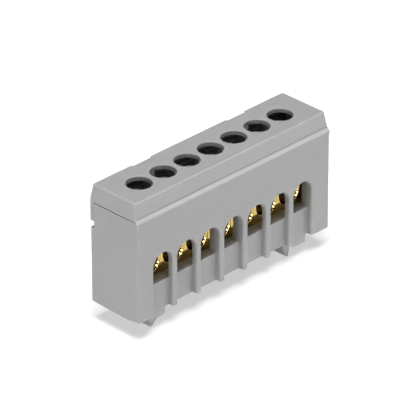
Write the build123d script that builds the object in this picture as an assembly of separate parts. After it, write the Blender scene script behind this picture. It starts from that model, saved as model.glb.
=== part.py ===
from build123d import *
import os

# Insulated seven-way terminal block that snaps across a 35 mm top-hat rail.
# A moulded housing with seven arched wire entries carries one brass bar. Seven
# clamp screws come down through the bar onto the wires, and a snapped-on lid
# with seven screwdriver holes covers them.
# Frame: X along the row of ways, +Y towards the back, +Z up. Z = 0 is the
# seat that rests on the rail. All sizes are in millimetres.

# Housing
DEPTH = 13.27
RIM_Z = 22.25
CORNER_R = 0.4
FRONT_WALL = 1.31
END_WALL = 1.3
BACK_WALL = 1.2
SHELF_Z = 6.13
SHELF_T = 1.2
PANEL_T = 1.0
UNDER_RIB_T = 1.1

# Ways: pitch, room beyond the outer ones, arched grooves and guide ribs inside
WAYS = 7
PITCH = 6.576
END_ROOM = 3.984
ROW_X = -0.285
ROW_Y = 0.04
GROOVE_W = 5.244
ARCH_Z = 10.55
GROOVE_EDGE_R = 0.45
RIB_FOOT_R = 0.12
GUIDE_REACH = 1.64
GUIDE_T = 1.33

# Front lip that covers the foot of the lid
LIP_SET_BACK = 0.7
LIP_EDGE_Z = 22.05
LIP_TOP_Z = 22.8
LIP_BAND = 0.35

# Back shoulder under the lid's skirt
SHOULDER_Z = 16.6
SHOULDER_IN = 1.06
BARB_H = 1.0
BARB_OUT = 0.45
BARB_Z = 19.6

# Rail grip: feet in the front and back walls, fixed hook left, sprung latch right
RAIL_W = 35.0
RAIL_T = 1.0
RAIL_PLAY = 0.35
RAIL_GAP = 0.15
RAIL_X = -0.575
FOOT_DROP = 1.75
FOOT_W = 4.2
FOOT_LEAD = 0.85
FOOT_LEAD_H = 0.6
FOOT_NIP = 0.45
HOOK_DROP = 4.1
HOOK_REACH = 0.83
HOOK_W = 2.87
HOOK_NOSE = 0.35
HOOK_TIP = 0.3
LATCH_REACH = 0.93
LATCH_T = 1.2
LATCH_TIP = 0.43
LATCH_TIP_IN = 0.6
LATCH_FLANK_Z = -1.3
LATCH_SET_BACK = 0.28
NOSE_ROOM = 0.3
HEEL_DROP = 0.35
HEEL_NOSE = 1.6

# Lid
LID_TOP_Z = 26.24
LID_FOOT_Z = 22.45
LID_BAND = 0.55
LID_TAPER_IN = 0.43
LID_FOOT_R = 0.1
LID_TOP_R = 0.35
LID_EDGE_R = 0.18
LID_PLATE = 1.0
LID_WALL = 1.2
LID_GAP = 0.05
SKIRT_FOOT_Z = 18.2
SKIRT_GAP = 0.08
DRIVER_HOLE_R = 2.675
DRIVER_RIM = 0.15
PLUG_T = 0.8
PLUG_DEPTH = 1.2
PLUG_GAP = 0.1
TONGUE_W = 5.4
TONGUE_IN = 0.5
TONGUE_FLARE = 0.1
TONGUE_DROP = 2.9
ROOT_IN = 2.7
ROOT_END = 0.3
ROOT_DROP = 1.3
WINDOW_GAP = 0.2

# Brass bar
BAR_W = 5.5
BAR_H = 9.0
BAR_END = 1.65
BAR_EDGE = 0.3
WIRE_R = 2.6
WIRE_Z = 9.75
WIRE_CHAMFER = 0.35
TAP_R = 2.0
TAP_CHAMFER = 0.3
BAR_GAP = 0.1
CLIP_T = 1.0
CLIP_OVER = 0.4
CLIP_H = 1.0
CLIP_LIP = 0.33

# Clamp screws
SCREW_RUN = 0.05
HEAD_R = 2.5
HEAD_H = 2.4
HEAD_TOP_Z = 23.6
HEAD_EDGE = 0.3
SLOT_W = 1.0
SLOT_DEPTH = 1.2
TIP_GAP = 0.6
TIP_CHAMFER = 0.4

LENGTH = WAYS * PITCH + 2 * END_ROOM
FRONT_Y = -DEPTH / 2
BACK_Y = DEPTH / 2
END_X = LENGTH / 2
PANEL_Y = FRONT_Y + FRONT_WALL
LIP_Y = FRONT_Y + LIP_SET_BACK
SHOULDER_Y = BACK_Y - SHOULDER_IN
CAVITY_BACK_Y = SHOULDER_Y - BACK_WALL
CAVITY_X = END_X - END_WALL
UNDER_FRONT_Y = PANEL_Y + PANEL_T
UNDER_BACK_Y = BACK_Y - BACK_WALL
WAY_X = [ROW_X + PITCH * (way - (WAYS - 1) / 2) for way in range(WAYS)]
BETWEEN_X = [ROW_X + PITCH * (way - WAYS / 2) for way in range(WAYS + 1)]
SLOT_LEFT_X = RAIL_X - RAIL_W / 2 - RAIL_PLAY
SLOT_RIGHT_X = RAIL_X + RAIL_W / 2 + RAIL_PLAY
GRIP_Z = -RAIL_T - RAIL_GAP
BAR_TOP_Z = SHELF_Z + BAR_H
BAR_HALF = PITCH * (WAYS - 1) / 2 + WIRE_R + BAR_END
BAR_FRONT_Y = ROW_Y - BAR_W / 2
BAR_BACK_Y = ROW_Y + BAR_W / 2
GUIDE_X = [BETWEEN_X[0], BETWEEN_X[3], BETWEEN_X[4], BETWEEN_X[-1]]
TONGUE_X = [WAY_X[1], WAY_X[-2]]


def block(x, y, z):
    """A box given by its low and high values along each axis."""
    size = (x[1] - x[0], y[1] - y[0], z[1] - z[0])
    middle = ((x[0] + x[1]) / 2, (y[0] + y[1]) / 2, (z[0] + z[1]) / 2)
    return Pos(*middle) * Box(*size)


def rounded_block(x, y, z, radius):
    """A box with its four upright edges rounded."""
    size = (x[1] - x[0], y[1] - y[0])
    middle = ((x[0] + x[1]) / 2, (y[0] + y[1]) / 2, z[0])
    return extrude(Pos(*middle) * RectangleRounded(*size, radius), amount=z[1] - z[0])


def along_x(points, x):
    """A profile of (y, z) points carried from x[0] to x[1]."""
    face = make_face(Polyline(*[(x[0], py, pz) for py, pz in points], close=True))
    return extrude(face, amount=x[1] - x[0], dir=(1, 0, 0))


def along_y(points, y):
    """A profile of (x, z) points carried from y[0] to y[1]."""
    face = make_face(Polyline(*[(px, y[0], pz) for px, pz in points], close=True))
    return extrude(face, amount=y[1] - y[0], dir=(0, 1, 0))


def upright(x, y, z, radius):
    """A cylinder that stands on (x, y) from z[0] to z[1]."""
    return Pos(x, y, (z[0] + z[1]) / 2) * Cylinder(radius, z[1] - z[0])


def wall_box():
    """The outer walls, the shelf and the shoulder, hollow from above and from below."""
    body = rounded_block((-END_X, END_X), (FRONT_Y, BACK_Y), (0, RIM_Z), CORNER_R)
    body -= block((-END_X, END_X), (SHOULDER_Y, BACK_Y), (SHOULDER_Z, RIM_Z))
    body -= block((-CAVITY_X, CAVITY_X), (PANEL_Y, CAVITY_BACK_Y), (SHELF_Z, RIM_Z))
    body -= block((-CAVITY_X, CAVITY_X), (UNDER_FRONT_Y, UNDER_BACK_Y), (0, SHELF_Z - SHELF_T))
    return body


def front_lip():
    """The bevelled strip along the top of the front wall, square at its ends."""
    profile = [
        (FRONT_Y, LIP_EDGE_Z - LIP_BAND),
        (FRONT_Y, LIP_EDGE_Z),
        (LIP_Y, LIP_TOP_Z),
        (LIP_Y, LID_FOOT_Z),
        (PANEL_Y, LID_FOOT_Z),
        (PANEL_Y, LIP_EDGE_Z - LIP_BAND),
    ]
    strip = along_x(profile, (-END_X, END_X))
    inner = block((-END_X, END_X), (LIP_Y + LID_GAP, PANEL_Y), (RIM_Z, LID_FOOT_Z))
    ends = inner - block((-CAVITY_X, CAVITY_X), (LIP_Y, PANEL_Y), (RIM_Z, LID_FOOT_Z))
    return strip - ends


def groove(x):
    """One arched groove with its wire entry, open at the foot of the front wall."""
    half = GROOVE_W / 2
    straight = block((x - half, x + half), (FRONT_Y, PANEL_Y), (0, ARCH_Z))
    arch = Pos(x, (FRONT_Y + PANEL_Y) / 2, ARCH_Z) * Rot(90, 0, 0) * Cylinder(half, FRONT_WALL)
    return straight + arch


def guide_ribs():
    """Inner ribs between some ways: short in front of the bar, up to it behind."""
    ribs = Part()
    for x in GUIDE_X:
        wide = (x - GUIDE_T / 2, x + GUIDE_T / 2)
        ribs += block(wide, (PANEL_Y, PANEL_Y + GUIDE_REACH), (SHELF_Z, BAR_TOP_Z))
        ribs += block(wide, (BAR_BACK_Y + BAR_GAP, CAVITY_BACK_Y), (SHELF_Z, BAR_TOP_Z))
    return ribs


def end_clip(side):
    """A rib on an end wall that stops the bar's end, with a nib over its top."""
    bar_end = ROW_X + side * BAR_HALF
    stop = bar_end + side * BAR_GAP
    top = BAR_TOP_Z + BAR_GAP
    profile = [
        (side * CAVITY_X, SHELF_Z),
        (stop, SHELF_Z),
        (stop, top),
        (bar_end - side * CLIP_OVER, top),
        (bar_end - side * CLIP_OVER, top + CLIP_LIP),
        (stop, top + CLIP_H),
        (side * CAVITY_X, top + CLIP_H),
    ]
    return along_y(profile, (ROW_Y - CLIP_T / 2, ROW_Y + CLIP_T / 2))


def under_ribs():
    """The ribbing under the shelf that sits on the rail, clear of the latch's nose."""
    top = SHELF_Z - SHELF_T
    latch_nose = SLOT_RIGHT_X - LATCH_REACH - NOSE_ROOM
    rows = [x for x in BETWEEN_X[1:WAYS] if x + UNDER_RIB_T / 2 < latch_nose]
    ribs = Part()
    for x in rows:
        wide = (x - UNDER_RIB_T / 2, x + UNDER_RIB_T / 2)
        ribs += block(wide, (UNDER_FRONT_Y, UNDER_BACK_Y), (0, top))
    spine = (-UNDER_RIB_T / 2, UNDER_RIB_T / 2)
    ribs += block((rows[0], rows[-1]), spine, (0, top))
    return ribs


def feet():
    """Four short feet in the front and back walls that stand beside the rail."""
    left_x = SLOT_LEFT_X - FOOT_W
    right_x = SLOT_RIGHT_X + FOOT_W
    left = [
        (left_x, 0),
        (left_x, -FOOT_DROP),
        (SLOT_LEFT_X - FOOT_NIP, -FOOT_DROP),
        (SLOT_LEFT_X, -FOOT_DROP + FOOT_NIP),
        (SLOT_LEFT_X, 0),
    ]
    right = [
        (SLOT_RIGHT_X, 0),
        (SLOT_RIGHT_X, -FOOT_DROP + FOOT_LEAD_H),
        (SLOT_RIGHT_X + FOOT_LEAD, -FOOT_DROP),
        (right_x, -FOOT_DROP),
        (right_x, 0),
    ]
    made = Part()
    for outline in (left, right):
        made += along_y(outline, (PANEL_Y, UNDER_FRONT_Y))
        made += along_y(outline, (UNDER_BACK_Y, BACK_Y))
    return made


def rail_hook():
    """The fixed hook: a long ramp underneath that ends in a nose under the rail."""
    outer = SLOT_LEFT_X - HOOK_W
    nose = SLOT_LEFT_X + HOOK_REACH
    profile = [
        (outer, 0),
        (outer, -HOOK_DROP),
        (outer + HOOK_TIP, -HOOK_DROP),
        (nose, GRIP_Z - HOOK_NOSE),
        (nose, GRIP_Z),
        (SLOT_LEFT_X, GRIP_Z),
        (SLOT_LEFT_X, 0),
    ]
    claw = along_y(profile, (UNDER_FRONT_Y + LATCH_SET_BACK, UNDER_BACK_Y - LATCH_SET_BACK))
    root = block((outer, SLOT_LEFT_X), (UNDER_FRONT_Y, UNDER_BACK_Y), (0, SHELF_Z - SHELF_T))
    return claw + root


def rail_latch():
    """The sprung latch: a thin leg from the shelf with a lead-in and a nose."""
    nose = SLOT_RIGHT_X - LATCH_REACH
    outer = SLOT_RIGHT_X + LATCH_T
    tip = outer - LATCH_TIP_IN - LATCH_TIP
    profile = [
        (SLOT_RIGHT_X, SHELF_Z - SHELF_T),
        (SLOT_RIGHT_X, GRIP_Z),
        (nose, GRIP_Z),
        (nose, GRIP_Z - HOOK_NOSE),
        (tip, -HOOK_DROP),
        (tip + LATCH_TIP, -HOOK_DROP),
        (outer, LATCH_FLANK_Z),
        (outer, SHELF_Z - SHELF_T),
    ]
    return along_y(profile, (UNDER_FRONT_Y + LATCH_SET_BACK, UNDER_BACK_Y - LATCH_SET_BACK))


def end_heels():
    """The lower edge of each end wall, which slopes down towards the front."""
    profile = [
        (BACK_Y - CORNER_R, 0),
        (PANEL_Y + HEEL_NOSE, -HEEL_DROP),
        (PANEL_Y, 0),
    ]
    left = along_x(profile, (-END_X, -CAVITY_X))
    right = along_x(profile, (CAVITY_X, END_X))
    return left + right


def barbs():
    """Two wedges on the back wall that the lid's skirt snaps over."""
    profile = [
        (SHOULDER_Y, BARB_Z),
        (SHOULDER_Y + BARB_OUT, BARB_Z),
        (SHOULDER_Y, BARB_Z + BARB_H),
    ]
    made = Part()
    for x in TONGUE_X:
        made += along_x(profile, (x - TONGUE_W / 2, x + TONGUE_W / 2))
    return made


def make_housing():
    """The whole grey moulding under the lid."""
    body = wall_box() + front_lip()
    for x in WAY_X:
        body -= groove(x)
    body = fillet(body.edges().filter_by(on_groove_mouth), GROOVE_EDGE_R)
    body = fillet(body.edges().filter_by(on_rib_foot), RIB_FOOT_R)
    body += guide_ribs() + end_clip(-1) + end_clip(1)
    body += under_ribs() + feet() + rail_hook() + rail_latch()
    body += end_heels() + barbs()
    return body


def on_groove_mouth(edge):
    """True for the upright and arched edges where a groove meets the front face."""
    box = edge.bounding_box()
    flat = abs(box.min.Y - FRONT_Y) < 1e-4 and abs(box.max.Y - FRONT_Y) < 1e-4
    inside = abs(edge.center().X) < END_X - CORNER_R - 0.1
    tall = box.max.Z - box.min.Z > GROOVE_EDGE_R
    return flat and inside and tall


def on_rib_foot(edge):
    """True for the lower edges of the ribs between ways, with their rounded corners."""
    box = edge.bounding_box()
    low = box.max.Z < 1e-4
    front = box.max.Y < FRONT_Y + GROOVE_EDGE_R + 1e-4
    between = abs(edge.center().X) < WAY_X[-1]
    return low and front and between


def make_lid():
    """The cover: tapered top, plug inside the rim and a snap skirt at the back."""
    x = (-END_X, END_X)
    y = (LIP_Y + LID_GAP, BACK_Y)
    middle = (y[0] + y[1]) / 2
    width = y[1] - y[0]
    band_z = LID_FOOT_Z + LID_BAND
    foot = Pos(0, middle, band_z) * RectangleRounded(LENGTH, width, LID_FOOT_R)
    top_size = (LENGTH - 2 * LID_TAPER_IN, width - 2 * LID_TAPER_IN)
    top = Pos(0, middle, LID_TOP_Z) * RectangleRounded(*top_size, LID_TOP_R)
    shell = loft([foot, top])
    shell = fillet(shell.faces().sort_by(Axis.Z)[-1].edges(), LID_EDGE_R)
    shell += rounded_block(x, y, (LID_FOOT_Z, band_z), LID_FOOT_R)
    skirt = rounded_block(x, y, (SKIRT_FOOT_Z, LID_FOOT_Z), LID_FOOT_R)
    shell += skirt - block(x, (y[0], SHOULDER_Y + SKIRT_GAP), (SKIRT_FOOT_Z, LID_FOOT_Z))
    hollow_y = (y[0] + LID_WALL, CAVITY_BACK_Y)
    shell -= block((-CAVITY_X, CAVITY_X), hollow_y, (LID_FOOT_Z, LID_TOP_Z - LID_PLATE))
    shell += lid_plug()
    for way_x in WAY_X:
        shell -= driver_hole(way_x)
    for way_x in TONGUE_X:
        shell += tongue_root(way_x)
        shell -= tongue_recess(way_x)
        shell -= snap_window(way_x)
    return shell


def lid_plug():
    """The low wall under the lid that fits inside the housing's rim."""
    x = CAVITY_X - PLUG_GAP
    y = (PANEL_Y + PLUG_GAP, CAVITY_BACK_Y - PLUG_GAP)
    z = (LID_FOOT_Z - PLUG_DEPTH, LID_FOOT_Z + LID_BAND)
    ring = block((-x, x), y, z)
    return ring - block((PLUG_T - x, x - PLUG_T), (y[0] + PLUG_T, y[1] - PLUG_T), z)


def driver_hole(x):
    """One screwdriver hole with a broken edge."""
    hole = upright(x, ROW_Y, (LID_TOP_Z - 2 * LID_PLATE, LID_TOP_Z), DRIVER_HOLE_R)
    rim = Cone(DRIVER_HOLE_R, DRIVER_HOLE_R + DRIVER_RIM, DRIVER_RIM)
    return hole + Pos(x, ROW_Y, LID_TOP_Z - DRIVER_RIM / 2) * rim


def tongue_recess(x):
    """A shallow recess in the lid's back edge above a snap."""
    floor_y = BACK_Y - LID_TAPER_IN - TONGUE_IN
    half = TONGUE_W / 2
    outline = Polyline(
        (x - half, floor_y, LID_TOP_Z - TONGUE_DROP),
        (x + half, floor_y, LID_TOP_Z - TONGUE_DROP),
        (x + half + TONGUE_FLARE, BACK_Y + TONGUE_IN, LID_TOP_Z - TONGUE_DROP),
        (x - half - TONGUE_FLARE, BACK_Y + TONGUE_IN, LID_TOP_Z - TONGUE_DROP),
        close=True,
    )
    return extrude(make_face(outline), amount=TONGUE_DROP, dir=(0, 0, 1))


def tongue_root(x):
    """A lump under the lid's plate, behind a screwdriver hole, that backs a snap."""
    top = LID_TOP_Z - LID_PLATE
    y = (ROW_Y + ROOT_IN, CAVITY_BACK_Y)
    return block((x - TONGUE_W / 2, x + ROOT_END), y, (top - ROOT_DROP, top))


def snap_window(x):
    """The slot in the skirt that a barb of the housing enters."""
    half = TONGUE_W / 2 + WINDOW_GAP
    z = (BARB_Z - WINDOW_GAP, BARB_Z + BARB_H + WINDOW_GAP)
    return block((x - half, x + half), (SHOULDER_Y, BACK_Y), z)


def make_busbar():
    """The brass bar with a wire hole and a tapped hole for every way."""
    ends = (ROW_X - BAR_HALF, ROW_X + BAR_HALF)
    bar = block(ends, (BAR_FRONT_Y, BAR_BACK_Y), (SHELF_Z, BAR_TOP_Z))
    bar = chamfer(bar.edges().filter_by(Axis.Z), BAR_EDGE)
    tap_mouth = Cone(TAP_R, TAP_R + TAP_CHAMFER, TAP_CHAMFER)
    wire_mouth = Cone(WIRE_R, WIRE_R + WIRE_CHAMFER, WIRE_CHAMFER)
    for x in WAY_X:
        bar -= Pos(x, ROW_Y, WIRE_Z) * Rot(90, 0, 0) * Cylinder(WIRE_R, BAR_W)
        bar -= upright(x, ROW_Y, (WIRE_Z, BAR_TOP_Z), TAP_R)
        bar -= Pos(x, ROW_Y, BAR_TOP_Z - TAP_CHAMFER / 2) * tap_mouth
        for side in (-1, 1):
            mouth_y = ROW_Y + side * (BAR_W - WIRE_CHAMFER) / 2
            bar -= Pos(x, mouth_y, WIRE_Z) * Rot(-90 * side, 0, 0) * wire_mouth
    return bar


def make_screw(x):
    """One clamp screw in its open position, with a slotted cheese head."""
    head_z = (HEAD_TOP_Z - HEAD_H, HEAD_TOP_Z)
    tip_z = WIRE_Z + WIRE_R + TIP_GAP
    head = upright(x, ROW_Y, head_z, HEAD_R)
    head = chamfer(head.edges().sort_by(Axis.Z)[-1], HEAD_EDGE)
    shank = upright(x, ROW_Y, (tip_z, head_z[0]), TAP_R - SCREW_RUN)
    shank = chamfer(shank.edges().sort_by(Axis.Z)[0], TIP_CHAMFER)
    slot_y = (ROW_Y - SLOT_W / 2, ROW_Y + SLOT_W / 2)
    slot = block((x - HEAD_R, x + HEAD_R), slot_y, (HEAD_TOP_Z - SLOT_DEPTH, HEAD_TOP_Z))
    return head + shank - slot


parts = {
    "housing": make_housing(),
    "lid": make_lid(),
    "busbar": make_busbar(),
}
for number, way_x in enumerate(WAY_X, start=1):
    parts[f"clamp_screw_{number}"] = make_screw(way_x)

os.makedirs("parts", exist_ok=True)
for name, shape in parts.items():
    export_step(shape, f"parts/{name}.step")
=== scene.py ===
import math

import bmesh
import bpy
from mathutils import Matrix, Vector


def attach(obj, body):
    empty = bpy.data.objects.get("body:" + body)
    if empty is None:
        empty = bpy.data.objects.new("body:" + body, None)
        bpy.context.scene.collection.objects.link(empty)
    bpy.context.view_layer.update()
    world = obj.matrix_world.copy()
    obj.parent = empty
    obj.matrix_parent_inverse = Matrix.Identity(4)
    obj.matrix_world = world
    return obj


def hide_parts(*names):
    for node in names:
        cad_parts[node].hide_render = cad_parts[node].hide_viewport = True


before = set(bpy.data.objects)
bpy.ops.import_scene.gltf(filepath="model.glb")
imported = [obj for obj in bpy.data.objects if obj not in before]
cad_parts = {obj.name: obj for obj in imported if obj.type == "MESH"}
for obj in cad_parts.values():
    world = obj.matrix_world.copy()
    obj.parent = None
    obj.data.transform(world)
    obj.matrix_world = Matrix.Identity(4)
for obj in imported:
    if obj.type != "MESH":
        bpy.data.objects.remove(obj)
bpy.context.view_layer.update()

MM = 0.001

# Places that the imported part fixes, in millimetres, and how many ways it has
WAYS = 7
PITCH = 6.576
ROW_X = -0.285
ROW_Y = 0.04
WAY_X = [ROW_X + PITCH * (way - (WAYS - 1) / 2) for way in range(WAYS)]
FLOOR_Z = -4.1
MIDDLE_Z = 11

# Marks on the front, in millimetres: the painted highlight on the bevelled lip, on what
# looks up by more than the share given, and an ejector pin's ring
LIP_Z = 22.4
LIP_REACH = 0.6
LIP_LOOKS_UP = 0.4
PIN_MARK = (-2.15, -6.635, 21.05)
PIN_R = 1.3
PIN_RING_REACH = 0.1

# Head of the M4 screw and its slot, in millimetres. The slot's cutter is longer than
# the head is wide, by the share given
HEAD_TOP_Z = 23.6
HEAD_H = 2.4
HEAD_R = 2.5
HEAD_RIM = 0.22
HEAD_SIDES = 72
RIM_STEPS = 4
SLOT_W = 1.0
SLOT_DEPTH = 1.2
SLOT_SHARE = 1.2

# Its core, in millimetres, let into the head and drawn in at the tip to the share given
CORE_R = 1.62
CORE_SIDES = 48
CORE_LET_IN = 0.05
TIP_Z = 12.95
TIP_H = 0.4
TIP_SHARE = 0.72

# The ridge of its thread, in millimetres, let into the core. Its ends are what lies
# within the reach given, as a share of its width, and keep a share of its height
THREAD_R = 1.94
THREAD_LET_IN = 0.04
THREAD_PITCH = 0.7
THREAD_W = 0.6
THREAD_CREST = 0.2
THREAD_TURNS = 10
THREAD_STEPS = 36
THREAD_END_REACH = 0.55
THREAD_END_SHARE = 0.1

# How near a plane a point lies on it, in millimetres
ON_PLANE = 0.01

# How far each screw is turned and from what angle an edge is sharp, in degrees
SCREW_TURNS = (28, 95, 62, 8, 40, 118, 74)
BROKEN_FROM = 50
SMOOTH_UP_TO = 35

# Colours, as sRGB hex codes
GREY_DARK, GREY_LIGHT = "#A0A0A0", "#AEAEAE"
# The dusty grey is dust; the other two greys are painted highlights, on the edges and on the lip
GREY_DUSTY, GREY_EDGE_HIGHLIGHT, GREY_LIP_HIGHLIGHT = "#DADAD8", "#B2B2B2", "#B6B6B6"
BRASS_CLEAN, BRASS_TARNISHED = "#DFC380", "#BA9B57"
ZINC_DULL, ZINC_BRIGHT = "#A9ACB0", "#C0C2C2"
PAPER_WHITE = "#D2D2D2"

# Patterns: repeats per metre, detail and roughness, and how the lines on the bar are
# drawn out
CLOUDS = (260.0, 5.0, 0.85)  # 3.8 mm, down to mottle of 0.3 mm
GRAIN = (5000.0, 3.0, 0.5)  # 0.2 mm
DRAWING_LINES = (9000.0, 2.0, 0.5)  # 0.11 mm across the bar
TARNISH = (420.0, 4.0, 0.5)  # 2.4 mm
PLATING = (900.0, 4.0, 0.5)  # 1.1 mm
ALONG_BAR = (0.03, 1.0, 1.0)

# Dust: cells per metre, which makes them 4 mm wide, how they are turned, in radians,
# a speck's radius as a share of its cell, the share of cells left clean, and how far
# to the left a dusty face looks
DUST_CELLS = 250.0
DUST_TURN = (0.35, 1.3, 0.0)
SPECK_SHARE = 0.032
CLEAN_SHARE = 0.6
DUSTY_BELOW_X = -0.6

# Polyamide: how far light spreads in it, in millimetres, how much of it does, and the
# height of the ejector pin's ring over the grain's
GLOW_REACH = 0.9
GLOW_SHARE = 0.5
POLYAMIDE_IOR = 1.53
RING_RELIEF = 2.2

# Edges: samples, radii in millimetres, the last for the painted highlight on edges, and
# the likeness of the soft and the true normal at which that painted highlight is full
EDGE_SAMPLES = 8
PLASTIC_EDGE = 0.22
BRASS_EDGE = 0.28
EDGE_HIGHLIGHT_REACH = 0.55
EDGE_HIGHLIGHT_FULL_AT = 0.92

# Inputs and output of a mix node that are used for colours
MIX_LOW, MIX_HIGH, MIX_COLOUR = 6, 7, 2

# The floor's size in metres and how bright it is seen, and the studio: the sines of
# the heights where white paper ends and the dark ceiling starts, how bright the
# ceiling is seen, and the light that all of it gives
FLOOR_SIZE = 6.0
FLOOR_LIFT = 0.52
PAPER_UP_TO = 0.05
CEILING_FROM = 0.15
CEILING_LEVEL = 0.05
STUDIO_LIGHT = 0.03

# Lamps: name, direction from the object, distance, width and height in metres, watts
SOFTBOXES = (
    ("softbox_left", (-1.0, -0.15, 0.02), 1.0, (0.60, 0.05), 4.0),
    ("softbox_front", (0.05, -1.0, 0.02), 1.0, (0.60, 0.05), 2.2),
    ("softbox_right", (0.75, -0.66, 0.02), 1.0, (0.60, 0.05), 2.5),
    ("softbox_back", (0.25, 1.0, 0.02), 1.0, (0.60, 0.05), 2.0),
    ("softbox_top", (-0.10, -0.10, 1.0), 0.9, (0.50, 0.50), 9.3))
# Small lamps that only metal and sheen show
GLINTS = (
    ("glint_low", (-0.62, -0.77, 0.13), 1.0, (0.14, 0.10), 0.6),
    ("glint_high", (-0.435, -0.79, 0.43), 1.0, (0.14, 0.10), 0.6))

# Camera fitted to the photograph: degrees round and up, focal length and picture
# width in pixels, sensor width in millimetres, and its place to the right of the
# origin, above it and back from it, in millimetres
CAMERA_TURN = 45.325
CAMERA_LIFT = 29.49
FOCAL_PIXELS = 4425.6
PICTURE_PIXELS = 420
SENSOR_W = 36.0
CAMERA_RIGHT, CAMERA_UP, CAMERA_BACK = -0.3264, 10.5627, 884.7806
CLIP_NEAR, CLIP_FAR = 0.05, 20.0


def linear(hex_code):
    """An sRGB hex colour as linear red, green and blue, with full alpha."""
    out = []
    for start in (1, 3, 5):
        part = int(hex_code[start:start + 2], 16) / 255
        out.append(part / 12.92 if part <= 0.04045 else ((part + 0.055) / 1.055) ** 2.4)
    return (*out, 1.0)


def add_node(tree, kind, settings=None, links=None):
    """Adds a shader node, sets its properties and sockets, and links what is an output."""
    made = tree.nodes.new(kind)
    for name, value in (settings or {}).items():
        setattr(made, name, value)
    for name, value in (links or {}).items():
        socket = made.inputs[name]
        if isinstance(value, bpy.types.NodeSocket):
            tree.links.new(value, socket)
        else:
            socket.default_value = value
    return made


def calculate(tree, operation, *values):
    """The result of a math node on outputs or numbers."""
    inputs = dict(enumerate(values))
    return add_node(tree, "ShaderNodeMath", {"operation": operation}, inputs).outputs[0]


def spread(tree, value, low, high, start=0.0, end=1.0):
    """A value that runs from start to end, made to run from low to high instead."""
    return add_node(tree, "ShaderNodeMapRange", links={
        "Value": value, "From Min": start, "From Max": end,
        "To Min": low, "To Max": high}).outputs["Result"]


def blend(tree, share, low, high):
    """The colour between two, each a hex code or an output."""
    low, high = (linear(one) if isinstance(one, str) else one for one in (low, high))
    return add_node(tree, "ShaderNodeMix", {"data_type": "RGBA"}, {
        "Factor": share, MIX_LOW: low, MIX_HIGH: high}).outputs[MIX_COLOUR]


def noise(tree, place, scale, detail, roughness):
    """A noise pattern of the given repeats per metre, as values around a half."""
    return add_node(tree, "ShaderNodeTexNoise", links={
        "Vector": place, "Scale": scale, "Detail": detail, "Roughness": roughness}).outputs["Fac"]


def soft_normal(tree, radius):
    """The surface's direction with edges rounded, by a radius in millimetres."""
    return add_node(tree, "ShaderNodeBevel", {"samples": EDGE_SAMPLES}, {
        "Radius": radius * MM}).outputs["Normal"]


def bumped(tree, height, strength, depth, normal=None):
    """The surface's direction with a relief on it, of a depth in millimetres."""
    links = {"Strength": strength, "Distance": depth * MM, "Height": height}
    if normal is not None:
        links["Normal"] = normal
    return add_node(tree, "ShaderNodeBump", links=links).outputs["Normal"]


def seen_by_eye(tree):
    """One for the camera's rays and for what it sees by reflection or through glass."""
    rays = add_node(tree, "ShaderNodeLightPath").outputs
    seen = calculate(tree, "MAXIMUM", rays["Is Camera Ray"], rays["Is Glossy Ray"])
    return calculate(tree, "MAXIMUM", seen, rays["Is Transmission Ray"])


def new_material(name):
    """An empty node material and its node tree."""
    made = bpy.data.materials.new(name)
    made.use_nodes = True
    made.node_tree.nodes.clear()
    return made, made.node_tree


def object_place(tree):
    """A point's place on the object, in metres."""
    return add_node(tree, "ShaderNodeTexCoord").outputs["Object"]


def add_surface(tree, links):
    """Ends a material with a principled shader."""
    shader = add_node(tree, "ShaderNodeBsdfPrincipled", links=links)
    add_node(tree, "ShaderNodeOutputMaterial", links={"Surface": shader.outputs[0]})


def dust_specks(tree, place, facing_x):
    """Dust on what faces left: a speck of 0.3 mm in some of the cells."""
    turned = add_node(tree, "ShaderNodeMapping", links={
        "Vector": place, "Rotation": DUST_TURN}).outputs[0]
    cells = add_node(tree, "ShaderNodeTexVoronoi", {"voronoi_dimensions": "2D"}, {
        "Vector": turned, "Scale": DUST_CELLS}).outputs
    chance = add_node(tree, "ShaderNodeSeparateColor", links={
        "Color": cells["Color"]}).outputs["Red"]
    near = calculate(tree, "LESS_THAN", cells["Distance"], SPECK_SHARE)
    chosen = calculate(tree, "GREATER_THAN", chance, CLEAN_SHARE)
    facing = calculate(tree, "LESS_THAN", facing_x, DUSTY_BELOW_X)
    return calculate(tree, "MULTIPLY", calculate(tree, "MULTIPLY", near, chosen), facing)


def edge_highlight_mask(tree, normal):
    """Mask for the painted highlight on edges: one where an edge is near and nought on flat
    walls.
    """
    alike = add_node(tree, "ShaderNodeVectorMath", {"operation": "DOT_PRODUCT"}, {
        0: soft_normal(tree, EDGE_HIGHLIGHT_REACH), 1: normal}).outputs["Value"]
    return spread(tree, alike, 0.0, 1.0, start=1.0, end=EDGE_HIGHLIGHT_FULL_AT)


def lip_highlight_mask(tree, place, facing_z):
    """One on the bevelled lip along the top of the front wall, where the painted highlight goes.
    """
    level = add_node(tree, "ShaderNodeSeparateXYZ", links={"Vector": place}).outputs["Z"]
    beside = calculate(tree, "COMPARE", level, LIP_Z * MM, LIP_REACH * MM)
    upward = calculate(tree, "GREATER_THAN", facing_z, LIP_LOOKS_UP)
    return calculate(tree, "MULTIPLY", beside, upward)


def pin_ring(tree, place):
    """One on the faint ring that an ejector pin of 2.6 mm left in the front face."""
    apart = add_node(tree, "ShaderNodeVectorMath", {"operation": "DISTANCE"}, {
        0: place, 1: [part * MM for part in PIN_MARK]}).outputs["Value"]
    return calculate(tree, "COMPARE", apart, PIN_R * MM, PIN_RING_REACH * MM)


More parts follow.
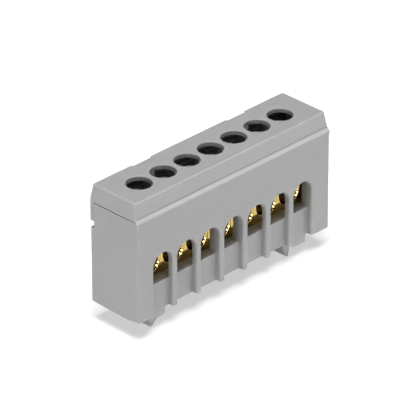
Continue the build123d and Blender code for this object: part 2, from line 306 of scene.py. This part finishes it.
def grey_plastic():
    """Polyamide, injection moulded in a spark-eroded mould: light neutral grey with an
    even matt sheen and a grain of 0.2 mm. Faint clouds of 4 mm break up into mottle of
    0.3 mm, specks of dust lie on the left end, and a painted highlight lightens the
    edges and, most of all, the lip. A little light enters the wall, so that the edges glow."""
    made, tree = new_material("polyamide_moulded_grey")
    place = object_place(tree)
    normal = add_node(tree, "ShaderNodeNewGeometry").outputs["Normal"]
    facing = add_node(tree, "ShaderNodeSeparateXYZ", links={"Vector": normal}).outputs
    clouds = noise(tree, place, *CLOUDS)
    grain = noise(tree, place, *GRAIN)
    colour = blend(tree, clouds, GREY_DARK, GREY_LIGHT)
    colour = blend(tree, dust_specks(tree, place, facing["X"]), colour, GREY_DUSTY)
    # painted highlight: the edges are lightened in colour
    colour = blend(tree, edge_highlight_mask(tree, normal), colour, GREY_EDGE_HIGHLIGHT)
    # painted highlight: the bevelled lip is lightened in colour
    colour = blend(tree, lip_highlight_mask(tree, place, facing["Z"]), colour, GREY_LIP_HIGHLIGHT)
    height = calculate(tree, "MULTIPLY_ADD", pin_ring(tree, place), RING_RELIEF, grain)
    edge = soft_normal(tree, PLASTIC_EDGE)
    add_surface(tree, {
        "Base Color": colour, "Roughness": spread(tree, grain, low=0.42, high=0.54),
        "Normal": bumped(tree, height, strength=0.5, depth=0.02, normal=edge),
        "IOR": POLYAMIDE_IOR, "Subsurface Weight": GLOW_SHARE,
        "Subsurface Scale": GLOW_REACH * MM, "Subsurface Radius": (1.0, 1.0, 1.0)})
    return made


def machined_brass():
    """Free-cutting brass bar, drawn and drilled: warm yellow metal, a little tarnished,
    with fine drawing lines along the bar, soft edges and the gloss of a tumbled part."""
    made, tree = new_material("brass_drawn_drilled")
    place = object_place(tree)
    stretched = add_node(tree, "ShaderNodeMapping", links={
        "Vector": place, "Scale": ALONG_BAR}).outputs[0]
    lines = noise(tree, stretched, *DRAWING_LINES)
    tarnish = noise(tree, place, *TARNISH)
    edge = soft_normal(tree, BRASS_EDGE)
    add_surface(tree, {
        "Base Color": blend(tree, tarnish, BRASS_CLEAN, BRASS_TARNISHED),
        "Roughness": spread(tree, lines, low=0.05, high=0.12), "Metallic": 1.0,
        "Normal": bumped(tree, lines, strength=0.15, depth=0.01, normal=edge)})
    return made


def plated_steel():
    """Steel screw, turned, thread rolled, then zinc plated in a barrel: cool light grey
    with patches of 1 mm where the colour, the gloss and the surface are uneven."""
    made, tree = new_material("steel_zinc_plated")
    patches = noise(tree, object_place(tree), *PLATING)
    add_surface(tree, {
        "Base Color": blend(tree, patches, ZINC_DULL, ZINC_BRIGHT),
        "Roughness": spread(tree, patches, low=0.38, high=0.55), "Metallic": 1.0,
        "Normal": bumped(tree, patches, strength=0.2, depth=0.01)})
    return made


def pale_floor():
    """Matt white table paper. Camera rays and reflections see it lifted to white."""
    made, tree = new_material("paper_matt_white")
    lift = calculate(tree, "MULTIPLY", seen_by_eye(tree), FLOOR_LIFT)
    paper = add_node(tree, "ShaderNodeBsdfDiffuse", links={"Color": linear(PAPER_WHITE)})
    glow = add_node(tree, "ShaderNodeEmission", links={"Strength": lift})
    both = add_node(tree, "ShaderNodeAddShader", links={0: paper.outputs[0], 1: glow.outputs[0]})
    add_node(tree, "ShaderNodeOutputMaterial", links={"Surface": both.outputs[0]})
    return made


def clear_selection():
    """Nothing stays selected before a new piece is made."""
    if bpy.context.object and bpy.context.object.mode != "OBJECT":
        bpy.ops.object.mode_set(mode="OBJECT")
    bpy.ops.object.select_all(action="DESELECT")


def pick(piece):
    """Only this piece is selected and active."""
    clear_selection()
    piece.select_set(True)
    bpy.context.view_layer.objects.active = piece


def apply_place(piece):
    """Moves a piece's place, turn and scale into its mesh."""
    pick(piece)
    bpy.ops.object.transform_apply(location=True, rotation=True, scale=True)


def apply_modifier(piece, kind, **settings):
    """Adds one modifier to a piece and applies it."""
    pick(piece)
    made = piece.modifiers.new(kind.lower(), kind)
    for name, value in settings.items():
        setattr(made, name, value)
    bpy.ops.object.modifier_apply(modifier=made.name)


def choose(piece, wanted, faces=False):
    """Selects, in edit mode, the points or faces whose place passes the test."""
    bpy.ops.mesh.select_mode(type="FACE" if faces else "VERT")
    bpy.ops.mesh.select_all(action="DESELECT")
    mesh = bmesh.from_edit_mesh(piece.data)
    for part in (mesh.faces if faces else mesh.verts):
        place = part.calc_center_median() if faces else part.co
        if wanted(place):
            part.select_set(True)
    mesh.select_flush_mode()
    bmesh.update_edit_mesh(piece.data)


def screw_head():
    """Cheese head: a low drum with a rounded rim and a slot."""
    clear_selection()
    bpy.ops.mesh.primitive_cylinder_add(
        vertices=HEAD_SIDES, radius=HEAD_R * MM, depth=HEAD_H * MM,
        location=(0, 0, (HEAD_TOP_Z - HEAD_H / 2) * MM))
    head = bpy.context.object
    apply_place(head)
    clear_selection()
    bpy.ops.mesh.primitive_cube_add(size=1, location=(0, 0, HEAD_TOP_Z * MM))
    cutter = bpy.context.object
    cutter.scale = (2 * SLOT_SHARE * HEAD_R * MM, SLOT_W * MM, 2 * SLOT_DEPTH * MM)
    apply_place(cutter)
    apply_modifier(head, "BOOLEAN", operation="DIFFERENCE", object=cutter, solver="EXACT")
    bpy.data.objects.remove(cutter, do_unlink=True)
    apply_modifier(
        head, "BEVEL", width=HEAD_RIM * MM, segments=RIM_STEPS, limit_method="ANGLE",
        angle_limit=math.radians(BROKEN_FROM))
    return head


def screw_shank():
    """The core of the screw, drawn in to a blunt cone at its tip."""
    clear_selection()
    low = (TIP_Z + TIP_H) * MM
    high = (HEAD_TOP_Z - HEAD_H + CORE_LET_IN) * MM
    bpy.ops.mesh.primitive_cylinder_add(
        vertices=CORE_SIDES, radius=CORE_R * MM, depth=high - low,
        location=(0, 0, (low + high) / 2))
    core = bpy.context.object
    apply_place(core)
    bpy.ops.object.mode_set(mode="EDIT")
    choose(core, lambda centre: centre.z < low + ON_PLANE * MM, faces=True)
    bpy.ops.mesh.extrude_region_move(TRANSFORM_OT_translate={"value": (0, 0, -TIP_H * MM)})
    bpy.ops.transform.resize(value=(TIP_SHARE, TIP_SHARE, 1), center_override=(0, 0, low))
    bpy.ops.object.mode_set(mode="OBJECT")
    return core


def screw_thread():
    """The ridge of the thread: a tooth carried round the core, with its ends let in."""
    clear_selection()
    root = (CORE_R - THREAD_LET_IN) * MM
    start = (TIP_Z + TIP_H + THREAD_PITCH / 2) * MM
    high = THREAD_R * MM - root
    bpy.ops.mesh.primitive_plane_add(size=1, location=(root + high / 2, 0, start))
    ridge = bpy.context.object
    ridge.rotation_euler = (math.pi / 2, 0, 0)
    ridge.scale = (high, THREAD_W * MM, 1)
    apply_place(ridge)
    # the outline of the tooth, narrower at its crest than at its root
    bpy.ops.object.mode_set(mode="EDIT")
    bpy.ops.mesh.select_all(action="SELECT")
    bpy.ops.mesh.delete(type="ONLY_FACE")
    choose(ridge, lambda point: point.x > root + high / 2)
    crest = (1, 1, THREAD_CREST / THREAD_W)
    bpy.ops.transform.resize(value=crest, center_override=(0, 0, start))
    apply_modifier(
        ridge, "SCREW", axis="Z", screw_offset=THREAD_PITCH * MM, iterations=THREAD_TURNS,
        steps=THREAD_STEPS, render_steps=THREAD_STEPS, use_normal_calculate=True)
    # both ends are pressed into the core and closed
    bpy.ops.object.mode_set(mode="EDIT")
    reach = THREAD_W * THREAD_END_REACH * MM
    for end in (start, start + THREAD_TURNS * THREAD_PITCH * MM):
        choose(ridge, lambda point: (
            point.x > 0 and abs(point.y) < ON_PLANE * MM and abs(point.z - end) < reach))
        bpy.ops.transform.resize(value=(THREAD_END_SHARE, 1, 1), center_override=(root, 0, end))
    bpy.ops.mesh.select_all(action="SELECT")
    bpy.ops.mesh.fill_holes(sides=4)
    bpy.ops.mesh.select_all(action="SELECT")
    bpy.ops.mesh.normals_make_consistent(inside=False)
    bpy.ops.object.mode_set(mode="OBJECT")
    return ridge


def clamp_screws(steel):
    """One screw is modelled, then copied to every way and turned as found."""
    pieces = [screw_head(), screw_shank(), screw_thread()]
    clear_selection()
    for piece in pieces:
        piece.select_set(True)
    bpy.context.view_layer.objects.active = pieces[0]
    bpy.ops.object.join()
    master = bpy.context.object
    bpy.ops.object.shade_smooth_by_angle(angle=math.radians(SMOOTH_UP_TO))
    master.data.materials.clear()
    master.data.materials.append(steel)
    for number, (x, turn) in enumerate(zip(WAY_X, SCREW_TURNS), start=1):
        screw = master.copy()
        screw.data = master.data.copy()
        screw.name = f"cheese_head_screw_{number}"
        bpy.context.collection.objects.link(screw)
        spin = Matrix.Rotation(math.radians(turn), 4, "Z")
        screw.data.transform(Matrix.Translation((x * MM, ROW_Y * MM, 0)) @ spin)
        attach(screw, f"screw_{number}")
        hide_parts(f"clamp_screw_{number}")
    bpy.data.objects.remove(master, do_unlink=True)


def set_material(node, material):
    """Gives a CAD node its material."""
    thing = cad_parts[node]
    for place in thing.material_slots:
        place.link = "OBJECT"
        place.material = material


def add_floor():
    """A plain pale floor that the hooks stand on."""
    clear_selection()
    bpy.ops.mesh.primitive_plane_add(size=FLOOR_SIZE, location=(0, 0, FLOOR_Z * MM))
    floor = bpy.context.object
    floor.name = "floor"
    apply_place(floor)
    floor.data.materials.append(pale_floor())


def add_world():
    """A dark studio with a white backdrop all round, seen but hardly lighting: white
    paper up to 3 degrees above the table, then the dark ceiling."""
    world = bpy.data.worlds.new("studio_backdrop")
    bpy.context.scene.world = world
    world.use_nodes = True
    tree = world.node_tree
    tree.nodes.clear()
    way = add_node(tree, "ShaderNodeTexCoord").outputs["Generated"]
    rise = add_node(tree, "ShaderNodeSeparateXYZ", links={"Vector": way}).outputs["Z"]
    paper = spread(tree, rise, 1.0, CEILING_LEVEL, start=PAPER_UP_TO, end=CEILING_FROM)
    level = calculate(tree, "MULTIPLY_ADD", seen_by_eye(tree), paper, STUDIO_LIGHT)
    sky = add_node(tree, "ShaderNodeBackground", links={"Strength": level})
    add_node(tree, "ShaderNodeOutputWorld", links={"Surface": sky.outputs[0]})


def add_lamp(name, towards, distance, size, power):
    """A softbox, wide and high, that faces the object from one direction."""
    light = bpy.data.lights.new(name, "AREA")
    light.shape = "RECTANGLE"
    light.size, light.size_y = size
    light.energy = power
    lamp = bpy.data.objects.new(name, light)
    bpy.context.collection.objects.link(lamp)
    way = Vector(towards).normalized()
    lamp.location = way * distance + Vector((0, 0, MIDDLE_Z * MM))
    lamp.rotation_mode = "QUATERNION"
    lamp.rotation_quaternion = way.to_track_quat("Z", "Y")
    return lamp


def add_camera():
    """The photograph's viewpoint, from a camera fitted to the object's own edges."""
    turn, lift = math.radians(CAMERA_TURN), math.radians(CAMERA_LIFT)
    flat = math.cos(lift)
    back = Vector((-math.sin(turn) * flat, -math.cos(turn) * flat, math.sin(lift)))
    right = Vector((math.cos(turn), -math.sin(turn), 0))
    up = back.cross(right)
    data = bpy.data.cameras.new("camera")
    data.sensor_width = SENSOR_W
    data.lens = FOCAL_PIXELS / PICTURE_PIXELS * SENSOR_W
    data.clip_start, data.clip_end = CLIP_NEAR, CLIP_FAR
    camera = bpy.data.objects.new("camera", data)
    bpy.context.collection.objects.link(camera)
    camera.matrix_world = Matrix((right, up, back)).transposed().to_4x4()
    camera.location = (right * CAMERA_RIGHT + up * CAMERA_UP + back * CAMERA_BACK) * MM
    bpy.context.scene.camera = camera


plastic = grey_plastic()
brass = machined_brass()
steel = plated_steel()
set_material("housing", plastic)
set_material("lid", plastic)
set_material("busbar", brass)
clamp_screws(steel)

add_floor()
add_world()
for softbox in SOFTBOXES:
    add_lamp(*softbox)
for glint in GLINTS:
    add_lamp(*glint).visible_diffuse = False
add_camera()
bpy.context.scene.view_settings.view_transform = "Standard"
